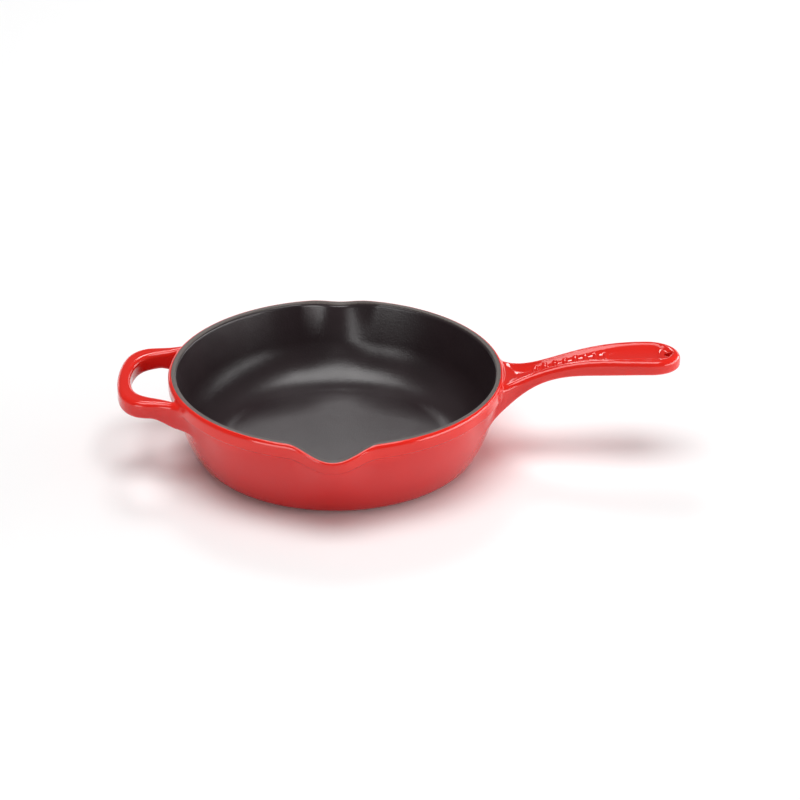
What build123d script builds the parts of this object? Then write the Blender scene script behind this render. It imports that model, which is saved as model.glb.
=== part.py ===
"""Enamelled cast iron skillet with two pouring lips, a long handle and a helper loop.

The iron is one casting: bowl, long handle and helper loop. Fired enamel covers it: a black
lining inside, red outside, a bare ground coat along the top of the rim. The long handle points
along +X, the pouring lips face -Y and +Y, and the pan stands on the plane Z = 0.
"""

import os
from math import cos, pi, sin

from build123d import *

# ---------------------------------------------------------------- driving dimensions, mm
ENAMEL = 0.5  # thickness of every fired coat

HEIGHT = 54.0  # to the top of the rim
RIM_RADIUS = 102.0  # around which the lips are laid out
RING_RADIUS = 101.5  # outer edge of the bare ring on the rim
BASE_RADIUS = 79.0  # flat part of the underside
BASE_COAT_RADIUS = 77.0  # edge of the ground-flat coat under it
BAND_RADIUS = 103.4  # raised upright band under the rim
BAND_DEPTH = 8.4
BAND_ROUNDING = 2.0  # outer corner of the rim
FLOOR_HEIGHT = 5.0  # cooking surface above the table
FLOOR_RADIUS = 66.0  # flat part of the cooking surface

LIP_REACH = 11.0  # how far a pouring lip stands out
LIP_DIP = 5.8  # how far it drops below the rim
LIP_HALF_WIDTH = 28.0
LIP_START = 7.0  # height at which the wall begins to bulge towards a lip
LIP_GROWTH = 1.4  # power law of that bulge

HANDLE_ROOT = 90.0  # where the long handle's blank begins, inside the bowl
HANDLE_WIDEST = 192.0
HANDLE_TIP = 211.0
HANDLE_HALF_WIDTH = 16.2  # at the widest place
HANDLE_TOP_ROUNDING = 3.6
HANDLE_BOTTOM_ROUNDING = 3.0
HOLE_CENTRE = 203.8
HOLE_RADIUS = 2.4

CHANNEL_START = 104.0
CHANNEL_DEPTH = 2.8
CHANNEL_LIP = 4.4  # breadth of the handle's edge beside the channel
CHANNEL_END = 199.5
PAD_END = 207.0  # the shallower pad round the hanging hole
PAD_DEPTH = 1.8
RIB_COUNT = 8
RIB_PITCH = 6.2
RIB_START = 122.0
RIB_LENGTH = 9.0
RIB_WIDTH = 2.6
RIB_HEIGHT = 0.9

LOOP_ROOT = -78.0  # where the loop's blank begins, inside the bowl
LOOP_TIP = -134.5
LOOP_GAP_END = -126.5  # outer end of the finger gap
LOOP_BOTTOM = 38.8
LOOP_TOP = 50.0
LOOP_ROUNDING = 3.0

CLEAR = 30.0  # how far a cutting solid runs past what it cuts

# Walls from their flat middle to above the rim: radius and height of the ends of tangent arcs.
OUTER_WALL = [(BASE_RADIUS, 0.0), (88.0, 5.2), (95.6, 22.0), (102.6, HEIGHT + 4.0)]
INNER_WALL = [(FLOOR_RADIUS, FLOOR_HEIGHT), (86.2, 14.4), (93.5, 29.5), (99.4, HEIGHT + 4.0)]
SECTIONS = 13  # level outlines in each lofted wall
SECTION_CROWDING = 1.25  # closer together where the wall is flat
UPRIGHT_SECTIONS = 5

# Long handle seen from the side: distance from the bowl's axis, height.
HANDLE_TOP = [(HANDLE_ROOT, 51.0), (106.0, 52.2), (126.0, 57.6), (150.0, 64.4), (175.0, 67.2),
    (200.0, 67.3), (HANDLE_TIP + 5.0, 66.6)]
HANDLE_BOTTOM = [(HANDLE_ROOT, 29.0), (104.0, 36.5), (125.0, 48.6), (137.0, 52.7), (161.0, 56.1),
    (187.0, 58.0), (HANDLE_TIP + 5.0, 57.4)]
# Long handle seen from above: distance from the bowl's axis, half width.
HANDLE_FLANK = [(HANDLE_ROOT, 33.0), (97.0, 26.0), (104.0, 19.6), (114.0, 13.0), (130.0, 10.0),
    (150.0, 11.5), (175.0, 15.2), (HANDLE_WIDEST, HANDLE_HALF_WIDTH)]
# Helper loop seen from above, outer edge and finger gap: distance along X, half width.
LOOP_OUTER = [(LOOP_ROOT, 54.0), (-90.0, 47.6), (-99.0, 42.0), (-110.0, 39.6), (-120.5, 38.0),
    (-128.5, 31.0), (-133.2, 17.0), (LOOP_TIP, 0.0)]
LOOP_INNER = [(LOOP_ROOT, 44.0), (-96.0, 36.0), (-104.0, 31.8), (-112.0, 28.8), (-119.5, 24.2),
    (-124.8, 13.5), (LOOP_GAP_END, 0.0)]


# ---------------------------------------------------------------- the bowl's shape
def lip_share(across):
    """Height of the lip's bell curve, 0 to 1, at a distance across the lip."""
    if abs(across) >= LIP_HALF_WIDTH:
        return 0.0
    return cos(pi / 2 * across / LIP_HALF_WIDTH) ** 2


def lip_bulge(height):
    """How far the wall stands out under the middle of a lip, at a height."""
    share = (height - LIP_START) / (HEIGHT - LIP_START)
    return LIP_REACH * max(0.0, share) ** LIP_GROWTH


def profile_curve(points):
    """Tangent arcs through a wall's points, level where they leave the flat middle."""
    with BuildLine(mode=Mode.PRIVATE) as curve:
        tangent = (1, 0)
        for start, end in zip(points, points[1:]):
            arc = TangentArc(start, end, tangent=tangent)
            tangent = arc % 1
    return curve.wire()


def level_outline(radius, height):
    """Face of the bowl at one height: two arcs joined by the bulges under the lips."""
    bulge = lip_bulge(height)
    half_angle = LIP_HALF_WIDTH / RIM_RADIUS
    half_degrees = half_angle * 180 / pi
    with BuildSketch(Plane.XY.offset(height), mode=Mode.PRIVATE) as outline:
        with BuildLine():
            for side in (1, -1):
                bell = []
                for step in (-1.0, -0.5, 0.0, 0.5, 1.0):
                    angle = side * (pi / 2 + step * half_angle)
                    out = radius + bulge * cos(pi / 2 * step) ** 2
                    bell.append((out * cos(angle), out * sin(angle)))
                first = side * (pi / 2 - half_angle)
                last = side * (pi / 2 + half_angle)
                leaving = (-side * sin(first), side * cos(first))
                arriving = (-side * sin(last), side * cos(last))
                Spline(bell, tangents=[leaving, arriving])
            CenterArc((0, 0), radius, -90 + half_degrees, 180 - 2 * half_degrees)
            CenterArc((0, 0), radius, 90 + half_degrees, 180 - 2 * half_degrees)
        make_face()
    return outline.sketch


def wall_solid(points, inset=0.0):
    """Solid inside a wall, moved inset towards the middle."""
    curve = profile_curve(points)
    faces = []
    for number in range(SECTIONS):
        along = (number / (SECTIONS - 1)) ** SECTION_CROWDING
        spot = curve @ along
        lean = curve % along
        radius = spot.X - inset * lean.Y
        height = spot.Y + inset * lean.X
        faces.append(level_outline(radius, height))
    with BuildPart(mode=Mode.PRIVATE) as solid:
        loft(faces)
    return solid.part


def above(drop):
    """Solid above the rim's line lowered by drop; it dips where the lips do."""
    level = HEIGHT - drop
    steps = [-1.0, -0.75, -0.5, -0.25, 0.0, 0.25, 0.5, 0.75, 1.0]
    line = [(s * LIP_HALF_WIDTH, level - LIP_DIP * lip_share(s * LIP_HALF_WIDTH)) for s in steps]
    reach = RIM_RADIUS + CLEAR
    with BuildPart(mode=Mode.PRIVATE) as solid:
        with BuildSketch(Plane.XZ.offset(-reach)):
            with BuildLine():
                Spline(line, tangents=[(1, 0), (1, 0)])
                Polyline(
                    (LIP_HALF_WIDTH, level),
                    (reach, level),
                    (reach, HEIGHT + CLEAR),
                    (-reach, HEIGHT + CLEAR),
                    (-reach, level),
                    (-LIP_HALF_WIDTH, level),
                )
            make_face()
        extrude(amount=2 * reach)
    return solid.part


def upright_solid(radius):
    """Upright wall with the lips, from well under the band to above the rim."""
    low = HEIGHT - LIP_DIP - 2 * BAND_DEPTH
    high = OUTER_WALL[-1][1]
    faces = []
    for number in range(UPRIGHT_SECTIONS):
        along = number / (UPRIGHT_SECTIONS - 1)
        faces.append(level_outline(radius, low + along * (high - low)))
    with BuildPart(mode=Mode.PRIVATE) as solid:
        loft(faces)
    return solid.part


def bowl_blank(inset=0.0):
    """The bowl without its hollow: wall, lips and raised band, inset on every side."""
    wall = wall_solid(OUTER_WALL, inset)
    with BuildPart(mode=Mode.PRIVATE) as blank:
        add(upright_solid(BAND_RADIUS - inset))
        add(above(BAND_DEPTH - inset), mode=Mode.INTERSECT)
        add(wall)
        add(above(inset), mode=Mode.SUBTRACT)
        near_top = HEIGHT - LIP_DIP - BAND_ROUNDING
        curved = blank.edges().filter_by(GeomType.LINE, reverse=True)
        fillet(curved.filter_by(lambda edge: edge.center().Z > near_top), BAND_ROUNDING - inset)
    return blank.part


# ---------------------------------------------------------------- the handles' shapes
def handle_slab(top_drop, bottom_rise=0.0):
    """The long handle's side view, extruded across, with its top and bottom moved inwards."""
    breadth = HANDLE_FLANK[0][1] + CLEAR
    with BuildPart(mode=Mode.PRIVATE) as slab:
        with BuildSketch(Plane.XZ.offset(-breadth)):
            with BuildLine():
                top = Spline([(x, z - top_drop) for x, z in HANDLE_TOP])
                bottom = Spline([(x, z + bottom_rise) for x, z in HANDLE_BOTTOM])
                Line(top @ 0, bottom @ 0)
                Line(top @ 1, bottom @ 1)
            make_face()
        extrude(amount=2 * breadth)
    return slab.part


def edges_round(face):
    """Edges of a handle's top or bottom face, without the one inside the bowl."""
    return face.edges().filter_by(lambda edge: abs(edge.center().X) > HANDLE_ROOT + 1)


def channel_blank(inset, drop, end):
    """Tall solid with the outline of the handle's channel, widened by inset, above its floor."""
    lip = CHANNEL_LIP - inset
    flank = [(x, width - lip) for x, width in HANDLE_FLANK if x >= CHANNEL_START]
    start = (CHANNEL_START - inset, flank[0][1])
    end_length = end + inset - HANDLE_WIDEST
    with BuildPart(mode=Mode.PRIVATE) as channel:
        with BuildSketch():
            with BuildLine():
                side = Spline([start, *flank[1:]], tangents=[(1, -0.8), (1, 0)])
                EllipticalCenterArc((HANDLE_WIDEST, 0), end_length, flank[-1][1], arc_size=90)
                Line(side @ 0, (start[0], 0))
                mirror(about=Plane.XZ)
            make_face()
        extrude(amount=HEIGHT + CLEAR)
        add(handle_slab(drop), mode=Mode.SUBTRACT)
        add(below_handle(), mode=Mode.SUBTRACT)
    return channel.part


def below_handle():
    """Everything under the middle of the long handle, out to past its tip."""
    with BuildPart(mode=Mode.PRIVATE) as solid:
        with BuildSketch(Plane.XZ.offset(-CLEAR)):
            with BuildLine():
                bottom = Spline([(x, z + 1.0) for x, z in HANDLE_BOTTOM])
                Polyline(bottom @ 0, (HANDLE_ROOT, 0), (HANDLE_TIP + 5.0, 0), bottom @ 1)
            make_face()
        extrude(amount=2 * CLEAR)
    return solid.part


def rib_blank(inset):
    """Upright solids standing through the grip ribs, narrowed by inset."""
    with BuildPart(mode=Mode.PRIVATE) as ribs:
        with BuildSketch():
            for number in range(RIB_COUNT):
                with Locations((RIB_START + number * RIB_PITCH, 0)):
                    SlotOverall(RIB_LENGTH - 2 * inset, RIB_WIDTH - 2 * inset, rotation=90)
        extrude(amount=HEIGHT + CLEAR)
    return ribs.part


def long_handle_blank(inset=0.0):
    """The long handle from inside the bowl to its tip, inset on every side."""
    flank = [(x, width - inset) for x, width in HANDLE_FLANK]
    end_length = HANDLE_TIP - inset - HANDLE_WIDEST
    with BuildPart(mode=Mode.PRIVATE) as trench:
        add(channel_blank(inset, inset + CHANNEL_DEPTH, CHANNEL_END))
        add(rib_blank(inset), mode=Mode.SUBTRACT)
        add(channel_blank(inset, inset + CHANNEL_DEPTH - RIB_HEIGHT, CHANNEL_END))
        add(channel_blank(inset, inset + PAD_DEPTH, PAD_END))
    with BuildPart(mode=Mode.PRIVATE) as blank:
        with BuildSketch():
            with BuildLine():
                side = Spline(flank, tangents=[(1, -1.2), (1, 0)])
                EllipticalCenterArc((HANDLE_WIDEST, 0), end_length, flank[-1][1], arc_size=90)
                Line(side @ 0, (HANDLE_ROOT, 0))
                mirror(about=Plane.XZ)
            make_face()
        extrude(amount=HEIGHT + CLEAR)
        add(handle_slab(inset, inset), mode=Mode.INTERSECT)
        top = blank.faces().sort_by(lambda face: face.normal_at().Z)[-1]
        fillet(edges_round(top), HANDLE_TOP_ROUNDING - inset)
        bottom = blank.faces().sort_by(lambda face: face.normal_at().Z)[0]
        fillet(edges_round(bottom), HANDLE_BOTTOM_ROUNDING - inset)
        add(trench.part, mode=Mode.SUBTRACT)
        with Locations((HOLE_CENTRE, 0, HEIGHT)):
            Cylinder(HOLE_RADIUS + inset, 2 * HEIGHT, mode=Mode.SUBTRACT)
    return blank.part


def helper_loop_blank(inset=0.0):
    """The helper loop with its finger gap, inset on every side."""
    outer = [(x, width - inset) for x, width in LOOP_OUTER[:-1]]
    inner = [(x, width + inset) for x, width in LOOP_INNER[:-1]]
    with BuildPart(mode=Mode.PRIVATE) as blank:
        with BuildSketch(Plane.XY.offset(LOOP_BOTTOM + inset)):
            with BuildLine():
                side = Spline([*outer, (LOOP_TIP + inset, 0)], tangents=[(-1, -0.6), (0, -1)])
                Line(side @ 0, (LOOP_ROOT, 0))
                mirror(about=Plane.XZ)
            make_face()
            with BuildLine():
                side = Spline([*inner, (LOOP_GAP_END - inset, 0)], tangents=[(-1, -0.3), (0, -1)])
                Line(side @ 0, (LOOP_ROOT, 0))
                mirror(about=Plane.XZ)
            make_face(mode=Mode.SUBTRACT)
        extrude(amount=LOOP_TOP - LOOP_BOTTOM - 2 * inset)
        for face in (blank.faces().sort_by(Axis.Z)[-1], blank.faces().sort_by(Axis.Z)[0]):
            fillet(edges_round(face), LOOP_ROUNDING - inset)
    return blank.part


def cavity_blank(grown=0.0):
    """The hollow of the bowl, grown into its wall."""
    return wall_solid(INNER_WALL, -grown)


def rim_plug():
    """Everything inside the bare ring's outer edge, from the underside of its coat upwards."""
    with BuildPart(mode=Mode.PRIVATE) as plug:
        add(upright_solid(RING_RADIUS))
        add(above(ENAMEL), mode=Mode.INTERSECT)
    return plug.part


# ---------------------------------------------------------------- shared blanks
bowl_skin = bowl_blank()
bowl_core = bowl_blank(ENAMEL)
cavity = cavity_blank()
cavity_in_iron = cavity_blank(ENAMEL)
handle_skin = long_handle_blank()
handle_core = long_handle_blank(ENAMEL)
loop_skin = helper_loop_blank()
loop_core = helper_loop_blank(ENAMEL)

# ---------------------------------------------------------------- the casting
with BuildPart() as iron_body:
    add(bowl_core)
    add(cavity_in_iron, mode=Mode.SUBTRACT)

with BuildPart() as iron_long_handle:
    add(handle_core)
    add(bowl_core, mode=Mode.SUBTRACT)

with BuildPart() as iron_helper_loop:
    add(loop_core)
    add(bowl_core, mode=Mode.SUBTRACT)

# ---------------------------------------------------------------- the fired coats
with BuildPart() as base_enamel:
    with BuildSketch():
        Circle(BASE_COAT_RADIUS)
    extrude(amount=ENAMEL)

with BuildPart() as interior_enamel:
    add(cavity_in_iron)
    add(cavity, mode=Mode.SUBTRACT)
    add(above(ENAMEL), mode=Mode.SUBTRACT)

with BuildPart() as rim_ground_coat:
    add(rim_plug())
    add(above(0), mode=Mode.SUBTRACT)
    add(cavity, mode=Mode.SUBTRACT)

with BuildPart() as exterior_enamel:
    add(bowl_skin)
    add(rim_plug(), mode=Mode.SUBTRACT)
    add(bowl_core, mode=Mode.SUBTRACT)
    Cylinder(BASE_COAT_RADIUS, 2 * ENAMEL, mode=Mode.SUBTRACT)
    add(handle_core, mode=Mode.SUBTRACT)
    add(loop_core, mode=Mode.SUBTRACT)

with BuildPart() as long_handle_enamel:
    add(handle_skin)
    add(handle_core, mode=Mode.SUBTRACT)
    add(bowl_skin, mode=Mode.SUBTRACT)

with BuildPart() as helper_loop_enamel:
    add(loop_skin)
    add(loop_core, mode=Mode.SUBTRACT)
    add(bowl_skin, mode=Mode.SUBTRACT)

# ---------------------------------------------------------------- the files
NODES = {
    "iron_body": iron_body,
    "iron_long_handle": iron_long_handle,
    "iron_helper_loop": iron_helper_loop,
    "interior_enamel": interior_enamel,
    "rim_ground_coat": rim_ground_coat,
    "exterior_enamel": exterior_enamel,
    "base_enamel": base_enamel,
    "long_handle_enamel": long_handle_enamel,
    "helper_loop_enamel": helper_loop_enamel,
}
os.makedirs("parts", exist_ok=True)
for name, node in NODES.items():
    node.part.label = name
    export_step(node.part, f"parts/{name}.step")
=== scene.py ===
import math

import bmesh
import bpy
import numpy as np
from mathutils import Matrix, Vector


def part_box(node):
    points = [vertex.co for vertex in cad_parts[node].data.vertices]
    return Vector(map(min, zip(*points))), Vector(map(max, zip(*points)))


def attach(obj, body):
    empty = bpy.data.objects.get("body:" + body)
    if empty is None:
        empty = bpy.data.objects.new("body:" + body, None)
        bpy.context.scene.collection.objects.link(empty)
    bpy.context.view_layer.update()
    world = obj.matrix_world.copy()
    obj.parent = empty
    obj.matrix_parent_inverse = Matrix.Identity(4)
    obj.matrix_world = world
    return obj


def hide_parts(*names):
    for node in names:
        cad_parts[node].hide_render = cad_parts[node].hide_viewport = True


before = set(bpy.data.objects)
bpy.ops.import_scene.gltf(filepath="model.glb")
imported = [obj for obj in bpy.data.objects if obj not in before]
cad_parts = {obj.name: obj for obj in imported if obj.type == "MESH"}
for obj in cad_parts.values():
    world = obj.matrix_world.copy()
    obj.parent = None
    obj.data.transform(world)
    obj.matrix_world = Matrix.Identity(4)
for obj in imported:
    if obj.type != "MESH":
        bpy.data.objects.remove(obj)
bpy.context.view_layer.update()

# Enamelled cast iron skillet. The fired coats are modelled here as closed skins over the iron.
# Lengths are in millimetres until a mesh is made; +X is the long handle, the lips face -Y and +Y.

MM = 0.001

# ---------------------------------------------------------------- sizes, from the frame
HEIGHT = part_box("rim_ground_coat")[1].z / MM
BAND_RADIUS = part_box("exterior_enamel")[1].x / MM
BASE_COAT_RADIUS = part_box("base_enamel")[1].x / MM
LOOP_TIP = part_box("helper_loop_enamel")[0].x / MM
LOOP_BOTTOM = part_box("helper_loop_enamel")[0].z / MM
LOOP_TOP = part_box("helper_loop_enamel")[1].z / MM
HANDLE_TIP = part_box("long_handle_enamel")[1].x / MM
LIP_REACH = 11.0
LIP_DIP = 5.8
LIP_HALF_WIDTH = 28.0
LIP_RADIUS = 102.0  # around which the lips are laid out
LIP_START = 7.0  # height at which the wall begins to bulge towards a lip
LIP_GROWTH = 1.4
LIP_DROP_LOW, LIP_DROP_HIGH = 10.0, 44.0  # heights between which a lip's dip sets in

COAT = 0.5  # thickness of a fired coat
BAND_DEPTH = 8.4
BAND_ROUNDING = 2.0  # how far the band's face rolls in before the ring begins
BAND_CROWN = 3.3  # height over which it does so
LEDGE_FOOT = 2.2  # how far the ledge under the band reaches below the band's lower line
LEDGE_HEAD = 0.6  # and above it
LEDGE_ROWS = 2.4  # how far below that line its closely spaced points begin
WALL_STOP = 2.8  # how far below that line the plain wall's points stop
RING_EDGE = BAND_RADIUS - BAND_ROUNDING  # where the red coat ends on top of the rim
RING_INNER = 98.6  # where the black lining ends
RING_LEAN = 0.19  # how fast the ring's inner edge draws in as a lip drops
RING_ROUNDING = 0.7
RING_CROWN = 0.06
FLOOR_HEIGHT = 5.0
OUTER_WALL = [(79.0, 0.0), (88.0, 5.2), (95.6, 22.0), (102.6, HEIGHT + 4.0)]
INNER_WALL = [(66.0, FLOOR_HEIGHT), (86.2, 14.4), (93.5, 29.5), (99.4, HEIGHT + 4.0)]
TURNS = 640  # points round the bowl

# Long handle: side view, then half width seen from above.
HANDLE_WIDEST = 192.0
HANDLE_HALF_WIDTH = 16.2
HANDLE_TOP = [(90.0, 51.0), (106.0, 52.2), (126.0, 57.6), (150.0, 64.4), (175.0, 67.2),
    (200.0, 67.3), (HANDLE_TIP + 5.0, 66.6)]
HANDLE_BOTTOM = [(90.0, 29.0), (104.0, 36.5), (125.0, 48.6), (137.0, 52.7), (161.0, 56.1),
    (187.0, 58.0), (HANDLE_TIP + 5.0, 57.4)]
HANDLE_FLANK = [(90.0, 33.0), (97.0, 26.0), (104.0, 19.6), (114.0, 13.0), (130.0, 10.0),
    (150.0, 11.5), (175.0, 15.2), (HANDLE_WIDEST, HANDLE_HALF_WIDTH)]
HANDLE_TOP_ROUNDING = 3.5
HANDLE_BOTTOM_ROUNDING = 2.9
HANDLE_FILLET = 3.2  # at the rim; it grows towards the underside
HANDLE_FILLET_GROWTH = 3.0
HOLE_CENTRE = 203.8
HOLE_RADIUS = 2.4
HOLE_ROUNDING = 0.9
CHANNEL_START = 102.0
CHANNEL_RAMP = 10.0
CHANNEL_DEPTH = 2.8
CHANNEL_POWER = 2.4  # how square the dish is across
CHANNEL_LIP = 4.1
CHANNEL_END = 199.5
PAD_END = 207.0
PAD_DEPTH = 1.8
PAD_FLAT = 0.74  # share of the pad that is flat
STEP_FOOT, STEP_HEAD = 1.2, 0.6  # reach of the step up to the pad, to either side of its line

# Helper loop seen from above: outer edge, then finger gap.
LOOP_OUTER = [(-78.0, 54.0), (-90.0, 47.6), (-99.0, 42.0), (-110.0, 39.6), (-120.5, 38.0),
    (-128.5, 31.0), (-133.2, 17.0), (LOOP_TIP, 0.0)]
LOOP_INNER = [(-78.0, 44.0), (-96.0, 36.0), (-104.0, 31.8), (-112.0, 28.8), (-119.5, 24.2),
    (-124.8, 13.5), (-126.5, 0.0)]
LOOP_ROUNDING = 3.0
LOOP_FILLET = 3.4
LOOP_FILLET_GROWTH = 2.2
LOOP_ROOT_DROP = 5.0  # how much deeper the arms are where they meet the bowl

# Handle skins: clearance over the iron, run into the wall, and the boxes they are meshed in.
SIDE_CLEARANCE = 0.08
BOTTOM_CLEARANCE = 0.1
ROOT_DEPTH = 1.2
HANDLE_ROOM = (84, -50, 14), (HANDLE_TIP + 2, 50, 70)
LOOP_ROOM = (LOOP_TIP - 2, -72, 20), (-70, 72, 54)
CELL = 0.6


# ---------------------------------------------------------------- curves and distances
def tangent_arcs(points, step):
    """Points along arcs, each tangent to the one before, the first one leaving level."""
    heading = 0.0
    line = [points[0]]
    for (r0, z0), (r1, z1) in zip(points, points[1:]):
        turn = 2 * (math.atan2(z1 - z0, r1 - r0) - heading)
        radius = math.hypot(r1 - r0, z1 - z0) / (2 * math.sin(turn / 2))
        count = max(2, math.ceil(abs(radius * turn) / step))
        for number in range(1, count + 1):
            part = turn * number / count
            chord = 2 * radius * math.sin(part / 2)
            angle = heading + part / 2
            line.append((r0 + chord * math.cos(angle), z0 + chord * math.sin(angle)))
        heading += turn
    return np.array(line)


def curve(points, count, start=None, end=None):
    """Cubic spline through points, with its direction given at either end or left free."""
    p = np.array(points, float)
    t = np.concatenate([[0.0], np.cumsum(np.linalg.norm(np.diff(p, axis=0), axis=1))])
    h = np.diff(t)
    n = len(p)
    matrix = np.zeros((n, n))
    right = np.zeros_like(p)
    slopes = np.diff(p, axis=0) / h[:, None]
    for i in range(1, n - 1):
        matrix[i, i - 1 : i + 2] = h[i], 2 * (h[i - 1] + h[i]), h[i - 1]
        right[i] = 3 * (h[i] * slopes[i - 1] + h[i - 1] * slopes[i])
    ends = (0, 1, slopes[0], start), (n - 1, n - 2, slopes[-1], end)
    for row, beside, slope, direction in ends:
        if direction is None:
            matrix[row, row], matrix[row, beside], right[row] = 2, 1, 3 * slope
        else:
            matrix[row, row], right[row] = 1, np.array(direction) / np.linalg.norm(direction)
    d = np.linalg.solve(matrix, right)
    s = np.linspace(0, t[-1], count)
    i = np.clip(np.searchsorted(t, s) - 1, 0, n - 2)
    u = ((s - t[i]) / h[i])[:, None]
    hi = h[i][:, None]
    return (
        (1 + 2 * u) * (1 - u) ** 2 * p[i]
        + u * (1 - u) ** 2 * hi * d[i]
        + u**2 * (3 - 2 * u) * p[i + 1]
        + u**2 * (u - 1) * hi * d[i + 1]
    )


def ease(value, low, high):
    """0 below low, 1 above high, and a smooth step between."""
    t = np.clip((value - low) / (high - low), 0, 1)
    return t * t * (3 - 2 * t)


def falling(value, high, low):
    """0 above high, 1 below low, and a smooth step between."""
    return ease(-value, -high, -low)


class Distances:
    """Signed distance to a plane curve, negative on its left, kept on a grid and read smoothly."""

    def __init__(self, line, low, high, cell=0.4):
        self.low = np.array(low, float) - 2 * cell
        self.cell = cell
        shape = np.ceil((np.array(high) - self.low) / cell).astype(int) + 4
        a = self.low[0] + cell * np.arange(shape[0])
        b = self.low[1] + cell * np.arange(shape[1])
        spots = np.stack(np.meshgrid(a, b, indexing="ij"), -1).reshape(-1, 2)
        start, along = line[:-1], np.diff(line, axis=0)
        length2 = (along**2).sum(1)
        out = np.empty(len(spots))
        for first in range(0, len(spots), 4000):
            q = spots[first : first + 4000, None] - start
            t = np.clip((q * along).sum(2) / length2, 0, 1)
            gap = q - t[..., None] * along
            d2 = (gap**2).sum(2)
            near = d2.argmin(1)
            row = np.arange(len(near))
            cross = along[near, 0] * q[row, near, 1] - along[near, 1] * q[row, near, 0]
            out[first : first + 4000] = -np.sign(cross) * np.sqrt(d2[row, near])
        self.table = out.reshape(shape)

    def __call__(self, a, b):
        shape = np.broadcast(a, b).shape
        u = (np.broadcast_to(a, shape) - self.low[0]) / self.cell
        v = (np.broadcast_to(b, shape) - self.low[1]) / self.cell
        u = np.clip(u, 1, self.table.shape[0] - 2.001)
        v = np.clip(v, 1, self.table.shape[1] - 2.001)
        i, j = u.astype(int), v.astype(int)
        wu, wv = spline_weights(u - i), spline_weights(v - j)
        total = 0
        for m in range(4):
            for n in range(4):
                total = total + wu[m] * wv[n] * self.table[i + m - 1, j + n - 1]
        return total


def spline_weights(t):
    """Weights of four neighbours for a value t of the way from the second to the third."""
    return (
        ((-t + 2) * t - 1) * t / 2,
        ((3 * t - 5) * t * t + 2) / 2,
        ((-3 * t + 4) * t + 1) * t / 2,
        (t - 1) * t * t / 2,
    )


def joined(a, b, radius):
    """Union of two distances with a fillet of about that radius between them."""
    h = np.maximum(radius - np.abs(a - b), 0)
    return np.minimum(a, b) - h * h * h / (6 * radius * radius)


def rounded(a, b, radius):
    """What is inside both, with a rounded edge."""
    return np.minimum(np.maximum(a, b), -radius) + np.hypot(
        np.maximum(a + radius, 0), np.maximum(b + radius, 0)
    )


def rooted(bowl, limb, fillet):
    """A limb with its fillet onto the bowl, kept to a little way inside the bowl's wall."""
    return np.maximum(np.maximum(joined(bowl, limb, fillet), limb - fillet), -bowl - ROOT_DEPTH)


# ---------------------------------------------------------------- the bowl
def outer_profile(step):
    """Outside of the bowl, from the edge of the flat coat below to the ring on the rim.

    Every row holds a radius, a height and how far the radius draws in for each millimetre
    that a lip drops it.
    """
    wall = tangent_arcs(OUTER_WALL, step)
    band_low = HEIGHT - BAND_DEPTH
    below = leaning(wall[wall[:, 1] < band_low - WALL_STOP])
    z_step = np.arange(band_low - LEDGE_ROWS, band_low + 1.0, min(0.2, step))
    z_band = np.arange(band_low + 1.0, HEIGHT - BAND_CROWN, min(0.9, step))
    z = np.concatenate([z_step, z_band])
    share = ease(z, band_low - LEDGE_FOOT, band_low + LEDGE_HEAD)
    wall_radius = np.interp(z, wall[:, 1], wall[:, 0])
    band = np.stack([
        wall_radius + (BAND_RADIUS - wall_radius) * share, z, below[-1, 2] * (1 - share)
    ], 1)
    angles = np.linspace(0, math.pi / 2, max(12, int(3.5 / step)))
    arc = np.stack([
        RING_EDGE + BAND_ROUNDING * np.cos(angles),
        HEIGHT - BAND_CROWN + BAND_CROWN * np.sin(angles),
        0 * angles,
    ], 1)
    return np.concatenate([[[BASE_COAT_RADIUS, 0.0, 0.0]], below, band, arc])


def ring_profile():
    """The bare ring on top of the rim, from the red coat to the black one."""
    count = 8
    angles = np.linspace(0, math.pi / 2, count)
    across = np.linspace(RING_EDGE, RING_INNER + RING_ROUNDING, count)
    crown = RING_CROWN * np.sin(math.pi * np.linspace(0, 1, count))
    top = np.stack([across, HEIGHT + crown], 1)
    edge = np.stack([
        RING_INNER + RING_ROUNDING - RING_ROUNDING * np.sin(angles),
        HEIGHT - RING_ROUNDING + RING_ROUNDING * np.cos(angles),
    ], 1)
    both = np.concatenate([top, edge[1:]])
    share = (RING_EDGE - both[:, :1]) / (RING_EDGE - RING_INNER)
    return np.concatenate([both, RING_LEAN * share], 1)


def inner_profile():
    """The lining, from under the ring down the wall and across the floor to the middle."""
    wall = leaning(tangent_arcs(INNER_WALL, 1.2))[::-1]
    start = ring_profile()[-1]
    wall = wall[wall[:, 1] < start[1] - 0.5]
    floor = [[r, FLOOR_HEIGHT, 0.0] for r in (58, 50, 42, 34, 26, 18, 10, 4, 0)]
    return np.concatenate([[start], wall, floor])


def leaning(wall):
    """A wall's points with how fast their radius grows with height."""
    growth = np.gradient(wall[:, 0]) / np.maximum(np.gradient(wall[:, 1]), 1e-3)
    return np.concatenate([wall, np.minimum(growth, 0.5)[:, None]], 1)


def bell(across):
    """A lip's share of its full reach or dip, at a distance from its middle."""
    part = np.minimum(np.abs(across) / LIP_HALF_WIDTH, 1)
    return np.cos(math.pi / 2 * part) ** 2


def bulge(z):
    """How far the middle of a lip stands out from the wall, at a height."""
    return LIP_REACH * np.maximum(0, (z - LIP_START) / (HEIGHT - LIP_START)) ** LIP_GROWTH


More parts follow.
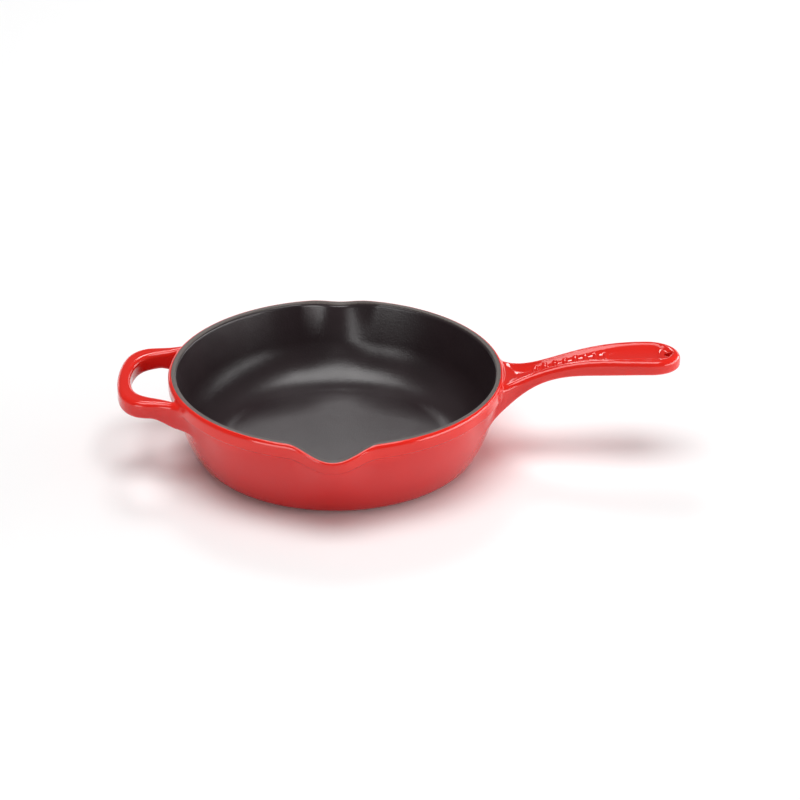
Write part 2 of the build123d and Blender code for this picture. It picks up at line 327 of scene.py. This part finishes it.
def lathe(profile):
    """Points of a profile turned about Z and drawn out by the two pouring lips."""
    angle = np.arange(TURNS) * 2 * math.pi / TURNS
    from_lip = np.arcsin(np.abs(np.cos(angle)))  # angle from the nearer lip's middle
    share = bell(from_lip * LIP_RADIUS)
    r0, z0, lean = profile[:, :1], profile[:, 1:2], profile[:, 2:]
    across = np.cos(angle) * (r0 + bulge(z0) * share)
    drop = LIP_DIP * bell(across) * ease(z0, LIP_DROP_LOW, LIP_DROP_HIGH)
    z = z0 - drop
    r = r0 - lean * drop + bulge(z) * share
    return np.stack([r * np.cos(angle), r * np.sin(angle), z + 0 * r], -1)


def skin(name, profile, node):
    """Closed coat: a turned outer face, the same face moved in by the coat, and its edges."""
    outside = lathe(profile)
    down = np.gradient(outside, axis=0)
    across = np.roll(outside, -1, 1) - np.roll(outside, 1, 1)
    normal = np.cross(across, down)
    normal /= np.maximum(np.linalg.norm(normal, axis=-1, keepdims=True), 1e-9)
    open_ends = []
    for end, beside in ((0, 1), (-1, -2)):
        if profile[end, 0] == 0:
            normal[end] = normal[beside]
        else:
            open_ends.append(end)
    inside = outside - COAT * normal
    rows, turns = outside.shape[:2]
    points = np.concatenate([outside.reshape(-1, 3), inside.reshape(-1, 3)])
    j, i = np.meshgrid(np.arange(rows - 1), np.arange(turns), indexing="ij")
    a, b = j * turns + i, j * turns + (i + 1) % turns
    faces = np.stack([a, b, b + turns, a + turns], -1).reshape(-1, 4)
    shift = rows * turns
    i = np.arange(turns)
    k = (i + 1) % turns
    edges = []
    for end in open_ends:
        row = (end % rows) * turns
        edges.append(np.stack([i + row, k + row, k + row + shift, i + row + shift], -1))
    faces = np.concatenate([faces, faces[:, ::-1] + shift, *edges])
    return mesh_object(name, points, faces, node)


def mesh_object(name, points, faces, *nodes):
    """A smooth mesh from points in millimetres, riding on the part in place of CAD nodes."""
    mesh = bpy.data.meshes.new(name)
    mesh.from_pydata((points * MM).tolist(), [], faces.tolist())
    mesh.validate()
    bm_clean(mesh)
    mesh.polygons.foreach_set("use_smooth", np.ones(len(mesh.polygons), bool))
    piece = bpy.data.objects.new(name, mesh)
    bpy.context.collection.objects.link(piece)
    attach(piece, "root")
    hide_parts(*nodes)
    return piece


def bm_clean(mesh):
    """Joins points that fall together and turns every face outwards."""
    bm = bmesh.new()
    bm.from_mesh(mesh)
    bmesh.ops.remove_doubles(bm, verts=bm.verts, dist=1e-7)
    bmesh.ops.dissolve_degenerate(bm, edges=bm.edges, dist=1e-8)
    bmesh.ops.recalc_face_normals(bm, faces=bm.faces)
    bm.to_mesh(mesh)
    bm.free()


# ---------------------------------------------------------------- solids from distances
def surface(field, low, high, cell):
    """Quad mesh of where a field is zero inside a box: one point in each crossed cell."""
    axes = [np.arange(a, b + cell, cell) for a, b in zip(low, high)]
    x, y, z = np.meshgrid(*axes, indexing="ij", sparse=True)
    value = field(x, y, z)
    inside = value < 0
    shape = np.array(value.shape)
    count = np.zeros(shape - 1)
    place = np.zeros((*(shape - 1), 3))
    edges = []
    for axis in range(3):
        lower = [slice(None)] * 3
        upper = [slice(None)] * 3
        lower[axis], upper[axis] = slice(0, -1), slice(1, None)
        a, b = value[tuple(lower)], value[tuple(upper)]
        crossed = (a < 0) != (b < 0)
        edges.append((axis, crossed, inside[tuple(lower)]))
        spots = np.argwhere(crossed)
        va, vb = a[crossed], b[crossed]
        where = spots.astype(float)
        where[:, axis] += va / (va - vb)
        side1, side2 = [k for k in range(3) if k != axis]
        for d1 in (0, -1):
            for d2 in (0, -1):
                cells = spots.copy()
                cells[:, side1] += d1
                cells[:, side2] += d2
                good = ((cells >= 0) & (cells < shape - 1)).all(1)
                at = tuple(cells[good].T)
                np.add.at(count, at, 1)
                np.add.at(place, at, where[good])
    used = count > 0
    index = np.full(count.shape, -1)
    index[used] = np.arange(used.sum())
    points = np.array(low) + cell * place[used] / count[used][:, None]
    faces = []
    for axis, crossed, starts_inside in edges:
        spots = np.argwhere(crossed)
        flip = ~starts_inside[crossed]
        side1, side2 = [(1, 2), (2, 0), (0, 1)][axis]
        corners = []
        for d1, d2 in ((-1, -1), (0, -1), (0, 0), (-1, 0)):
            cells = spots.copy()
            cells[:, side1] += d1
            cells[:, side2] += d2
            corners.append(index[tuple(cells.T)])
        quad = np.stack(corners, -1)
        quad[flip] = quad[flip][:, ::-1]
        faces.append(quad)
    for _ in range(4):
        points = pulled(field, points, cell)
    return points, np.concatenate(faces)


def pulled(field, points, limit):
    """Points moved along the field's gradient onto its zero surface."""
    x, y, z = points.T
    tiny = 0.02
    here = field(x, y, z)
    slope = np.stack([
        field(x + tiny, y, z) - field(x - tiny, y, z),
        field(x, y + tiny, z) - field(x, y - tiny, z),
        field(x, y, z + tiny) - field(x, y, z - tiny),
    ], -1) / (2 * tiny)
    square = np.maximum((slope**2).sum(1), 0.2)
    move = -(here / square)[:, None] * slope
    length = np.linalg.norm(move, axis=1, keepdims=True)
    return points + move * np.minimum(1, 0.5 * limit / np.maximum(length, 1e-9))


OUTSIDE = outer_profile(0.15)
# The profile runs up the wall with the iron on its left.
BOWL = Distances(OUTSIDE[1:, :2], (76.0, 10.0), (125.0, 62.0), 0.2)


def bowl_field(x, y, z):
    return BOWL(np.hypot(x, y), z)


TOP = curve(HANDLE_TOP, 600)
BOTTOM = curve(HANDLE_BOTTOM, 600)
TIP_ANGLE = np.linspace(0, math.pi / 2, 200)[1:]
TIP = np.stack([
    HANDLE_WIDEST + (HANDLE_TIP - HANDLE_WIDEST) * np.sin(TIP_ANGLE),
    HANDLE_HALF_WIDTH * np.cos(TIP_ANGLE),
], 1)
FLANK = np.concatenate([curve(HANDLE_FLANK, 900, (1, -1.2), (1, 0)), TIP])
HANDLE_PLAN = Distances(FLANK[::-1], (82.0, -2.0), (HANDLE_TIP + 4, 54.0))
OUTER_EDGE = curve(LOOP_OUTER, 900, (-1, -0.6), (0, -1))
INNER_EDGE = curve(LOOP_INNER, 900, (-1, -0.3), (0, -1))
LOOP_PLAN = Distances(OUTER_EDGE, (LOOP_TIP - 4, -2.0), (-68.0, 76.0))
GAP_PLAN = Distances(INNER_EDGE, (LOOP_TIP - 4, -2.0), (-68.0, 76.0))


def rib_height(x, y):
    """A row of plain raised grip ribs across the channel."""
    count, pitch, start, half_length = 8, 6.2, 122.0, 3.2
    height, crest, foot = 0.9, 0.5, 1.7
    nearest = start + pitch * np.clip(np.round((x - start) / pitch), 0, count - 1)
    reach = np.hypot(x - nearest, np.maximum(np.abs(y) - half_length, 0))
    return height * (1 - ease(reach, crest, foot))


def channel(x, y):
    """How far the dished channel and the pad round the hanging hole lie below the handle's top."""
    half = np.interp(x, FLANK[:, 0], FLANK[:, 1]) - CHANNEL_LIP
    across = np.abs(y) / np.maximum(half, 1.0)
    dish = np.maximum(1 - across**CHANNEL_POWER, 0)
    ramp_up = ease(x, CHANNEL_START, CHANNEL_START + CHANNEL_RAMP)
    dish = dish * ramp_up * (CHANNEL_DEPTH - rib_height(x, y))
    past = (x - HANDLE_WIDEST) / (PAD_END - HANDLE_WIDEST)
    from_edge = np.hypot(np.maximum(past, 0), y / (HANDLE_HALF_WIDTH - CHANNEL_LIP))
    pad = PAD_DEPTH * (1 - ease(from_edge, PAD_FLAT, 1.0))
    return dish + (pad - dish) * ease(x, CHANNEL_END - STEP_FOOT, CHANNEL_END + STEP_HEAD)


def handle_field(x, y, z):
    side = HANDLE_PLAN(x, np.abs(y)) - SIDE_CLEARANCE
    top = np.interp(x, TOP[:, 0], TOP[:, 1]) - channel(x, y)
    bottom = np.interp(x, BOTTOM[:, 0], BOTTOM[:, 1])
    body = rounded(side, z - top, HANDLE_TOP_ROUNDING)
    body = rounded(body, bottom - z - BOTTOM_CLEARANCE, HANDLE_BOTTOM_ROUNDING)
    hole = HOLE_RADIUS - np.hypot(x - HOLE_CENTRE, y)
    return rounded(body, hole, HOLE_ROUNDING)


def long_handle_field(x, y, z):
    """The handle with its fillet onto the bowl, ending a little way into the wall."""
    bowl, handle = bowl_field(x, y, z), handle_field(x, y, z)
    fillet = HANDLE_FILLET + HANDLE_FILLET_GROWTH * falling(z, 50.0, 36.0)
    return rooted(bowl, handle, fillet)


def loop_field(x, y, z):
    side = np.maximum(LOOP_PLAN(x, np.abs(y)), -GAP_PLAN(x, np.abs(y))) - SIDE_CLEARANCE
    bottom = LOOP_BOTTOM - LOOP_ROOT_DROP * ease(x, -112.0, -96.0)
    return rounded(rounded(side, z - LOOP_TOP, LOOP_ROUNDING), bottom - z, LOOP_ROUNDING)


def helper_loop_field(x, y, z):
    """The loop with its fillets onto the bowl."""
    bowl, loop = bowl_field(x, y, z), loop_field(x, y, z)
    fillet = LOOP_FILLET + LOOP_FILLET_GROWTH * falling(z, 50.0, 40.0)
    return rooted(bowl, loop, fillet)


# ---------------------------------------------------------------- materials
def node_material(name):
    material = bpy.data.materials.new(name)
    material.use_nodes = True
    tree = material.node_tree
    tree.nodes.clear()
    out = tree.nodes.new("ShaderNodeOutputMaterial")
    shader = tree.nodes.new("ShaderNodeBsdfPrincipled")
    tree.links.new(shader.outputs["BSDF"], out.inputs["Surface"])
    place = tree.nodes.new("ShaderNodeTexCoord")
    return material, tree, shader, place.outputs["Object"]


def noise(tree, place, scale, detail=3.0, roughness=0.5):
    node = tree.nodes.new("ShaderNodeTexNoise")
    node.inputs["Scale"].default_value = scale
    node.inputs["Detail"].default_value = detail
    node.inputs["Roughness"].default_value = roughness
    tree.links.new(place, node.inputs["Vector"])
    return node.outputs["Fac"]


def ramp(tree, value, *stops):
    """Colour ramp from (position, colour) stops."""
    node = tree.nodes.new("ShaderNodeValToRGB")
    elements = node.color_ramp.elements
    while len(elements) < len(stops):
        elements.new(0.5)
    for element, (position, colour) in zip(elements, stops):
        element.position = position
        element.color = (*colour, 1)
    tree.links.new(value, node.inputs["Fac"])
    return node.outputs["Color"]


def spread(tree, value, low, high, from_low=0.3, from_high=0.7):
    node = tree.nodes.new("ShaderNodeMapRange")
    node.inputs["From Min"].default_value = from_low
    node.inputs["From Max"].default_value = from_high
    node.inputs["To Min"].default_value = low
    node.inputs["To Max"].default_value = high
    tree.links.new(value, node.inputs["Value"])
    return node.outputs["Result"]


def bump(tree, shader, layers):
    """Stacks bumps: (height, distance in metres, strength) each."""
    before = None
    for height, distance, strength in layers:
        node = tree.nodes.new("ShaderNodeBump")
        node.inputs["Distance"].default_value = distance
        node.inputs["Strength"].default_value = strength
        tree.links.new(height, node.inputs["Height"])
        if before:
            tree.links.new(before, node.inputs["Normal"])
        before = node.outputs["Normal"]
    tree.links.new(before, shader.inputs["Normal"])
    return before


def red_enamel():
    material, tree, shader, place = node_material("red_enamel")
    split = tree.nodes.new("ShaderNodeSeparateXYZ")
    tree.links.new(place, split.inputs["Vector"])
    cloud = spread(tree, noise(tree, place, 22.0, 2.0), -0.06, 0.06)
    # Colour follows height: deep red at the foot, brighter orange-red at the rim and on the
    # handles. This is partly the enamel's own graded colour and partly painted shade, darkening the
    # lower wall where it sits in shadow near the floor.
    height = tree.nodes.new("ShaderNodeMath")
    height.operation = "ADD"
    tree.links.new(spread(tree, split.outputs["Z"], 0.06, 0.94, 0.0, HEIGHT * MM), height.inputs[0])
    tree.links.new(cloud, height.inputs[1])
    tree.links.new(
        ramp(tree, height.outputs["Value"], (0.0, (0.46, 0.0100, 0.0100)),
            (0.75, (0.62, 0.0110, 0.0085)), (0.88, (0.74, 0.0170, 0.0095))),
        shader.inputs["Base Color"],
    )
    tree.links.new(spread(tree, noise(tree, place, 60.0), 0.07, 0.12), shader.inputs["Roughness"])
    shader.inputs["IOR"].default_value = 1.52
    bump(tree, shader, [(noise(tree, place, 90.0, 1.0), 0.0004, 0.10)])
    return material


def black_enamel():
    material, tree, shader, place = node_material("black_enamel")
    cloud = noise(tree, place, 30.0, 3.0)
    tree.links.new(
        ramp(tree, cloud, (0.3, (0.021, 0.0125, 0.0145)), (0.7, (0.028, 0.017, 0.0195))),
        shader.inputs["Base Color"],
    )
    tree.links.new(spread(tree, noise(tree, place, 80.0), 0.28, 0.33), shader.inputs["Roughness"])
    shader.inputs["IOR"].default_value = 1.55
    bump(tree, shader, [(noise(tree, place, 900.0, 3.0), 0.0002, 0.4)])
    return material


def ground_coat():
    material, tree, shader, place = node_material("ground_coat")
    grain = noise(tree, place, 700.0, 4.0)
    tree.links.new(
        ramp(tree, grain, (0.3, (0.055, 0.043, 0.038)), (0.7, (0.105, 0.084, 0.075))),
        shader.inputs["Base Color"],
    )
    tree.links.new(spread(tree, grain, 0.42, 0.6), shader.inputs["Roughness"])
    bump(tree, shader, [(grain, 0.0002, 0.35)])
    return material


def cast_iron():
    material, tree, shader, place = node_material("cast_iron")
    grain = noise(tree, place, 500.0, 5.0)
    tree.links.new(
        ramp(tree, grain, (0.3, (0.05, 0.048, 0.046)), (0.7, (0.10, 0.096, 0.09))),
        shader.inputs["Base Color"],
    )
    shader.inputs["Metallic"].default_value = 0.8
    tree.links.new(spread(tree, grain, 0.55, 0.75), shader.inputs["Roughness"])
    bump(tree, shader, [(grain, 0.0003, 0.5)])
    return material


# ---------------------------------------------------------------- the pieces
def base_profile():
    radii = (BASE_COAT_RADIUS, 76.0, 66.0, 54.0, 42.0, 30.0, 18.0, 8.0, 0.0)
    return np.array([[r, 0.0, 0.0] for r in radii])


RED, BLACK, GREY, IRON = red_enamel(), black_enamel(), ground_coat(), cast_iron()

bowl_coat = skin("bowl_red_enamel", outer_profile(1.5), "exterior_enamel")
ring_coat = skin("rim_bare_ring", ring_profile(), "rim_ground_coat")
lining = skin("bowl_black_lining", inner_profile(), "interior_enamel")
base_coat = skin("base_red_enamel", base_profile()[::-1], "base_enamel")

points, faces = surface(long_handle_field, *HANDLE_ROOM, CELL)
handle_coat = mesh_object("long_handle_red_enamel", points, faces, "long_handle_enamel")
points, faces = surface(helper_loop_field, *LOOP_ROOM, CELL)
loop_coat = mesh_object("helper_loop_red_enamel", points, faces, "helper_loop_enamel")

for piece, material, slot in (
    (bowl_coat, RED, "red_enamel"),
    (base_coat, RED, "red_enamel"),
    (handle_coat, RED, "red_enamel"),
    (loop_coat, RED, "red_enamel"),
    (ring_coat, GREY, "ground_coat"),
    (lining, BLACK, "black_enamel"),
):
    piece.data.materials.append(material)

for node in ("iron_body", "iron_long_handle", "iron_helper_loop"):
    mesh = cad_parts[node].data
    mesh.materials.clear()
    mesh.materials.append(IRON)


# ---------------------------------------------------------------- studio
def studio_floor():
    size, level = 6.0, -0.0002  # a hair below the base, so the two faces don't coincide
    mesh = bpy.data.meshes.new("studio_floor")
    corners = [(size * a, size * b, level) for a, b in ((-1, -1), (1, -1), (1, 1), (-1, 1))]
    mesh.from_pydata(corners, [], [(0, 1, 2, 3)])
    floor = bpy.data.objects.new("studio_floor", mesh)
    bpy.context.collection.objects.link(floor)
    material, tree, shader, place = node_material("studio_floor")
    tree.links.new(
        ramp(tree, noise(tree, place, 3.0), (0.3, (0.90, 0.90, 0.90)), (0.7, (0.92, 0.92, 0.92))),
        shader.inputs["Base Color"],
    )
    shader.inputs["Roughness"].default_value = 0.6
    mesh.materials.append(material)


def softbox(name, bearing, elevation, distance, width, height, brightness):
    """Rectangular light facing the pan; its bearing runs from the camera's side towards +X."""
    data = bpy.data.lights.new(name, "AREA")
    data.shape = "RECTANGLE"
    data.size, data.size_y = width, height
    data.energy = brightness * math.pi * width * height
    light = bpy.data.objects.new(name, data)
    bpy.context.collection.objects.link(light)
    around, up = math.radians(bearing), math.radians(elevation)
    target = (0.0, 0.0, 0.03)
    place = (
        distance * math.sin(around) * math.cos(up),
        -distance * math.cos(around) * math.cos(up),
        target[2] + distance * math.sin(up),
    )
    aim(light, place, target)


def aim(thing, place, target, roll=0.0):
    """Puts a camera or lamp in place, looking at a target, with its top turned by roll."""
    place, target = Vector(place), Vector(target)
    back = (place - target).normalized()
    side = Vector((0, 0, 1)).cross(back).normalized()
    up = back.cross(side)
    right = side * math.cos(roll) + up * math.sin(roll)
    top = up * math.cos(roll) - side * math.sin(roll)
    turn = Matrix((right, top, back)).transposed().to_4x4()
    thing.matrix_world = Matrix.Translation(place) @ turn


def surroundings(strength):
    """Even dim light from everywhere else."""
    world = bpy.data.worlds.new("studio")
    world.use_nodes = True
    background = world.node_tree.nodes["Background"]
    background.inputs["Color"].default_value = (1, 1, 1, 1)
    background.inputs["Strength"].default_value = strength
    bpy.context.scene.world = world


def camera():
    data = bpy.data.cameras.new("camera")
    data.sensor_width = 36.0
    data.lens = 135.0
    eye = bpy.data.objects.new("camera", data)
    bpy.context.collection.objects.link(eye)
    bpy.context.scene.camera = eye
    elevation, roll, distance = math.radians(27.04), math.radians(0.24), 1.854
    target = (0.0393, 0.0, 0.0332)
    place = (target[0], -distance * math.cos(elevation), target[2] + distance * math.sin(elevation))
    aim(eye, place, target, roll)


studio_floor()
softbox("overhead", 0, 86, 2.4, 2.2, 1.5, 4.9)
softbox("front_left", -39, 10, 1.2, 0.55, 0.42, 4.6)
softbox("right", 95, 9, 2.0, 3.4, 0.63, 6.0)
softbox("back", 184, 42, 1.6, 0.42, 0.32, 11.0)
softbox("backdrop", 180, 5, 2.6, 4.0, 0.4, 2.0)
surroundings(0.15)
bpy.context.scene.view_settings.view_transform = "Standard"
camera()
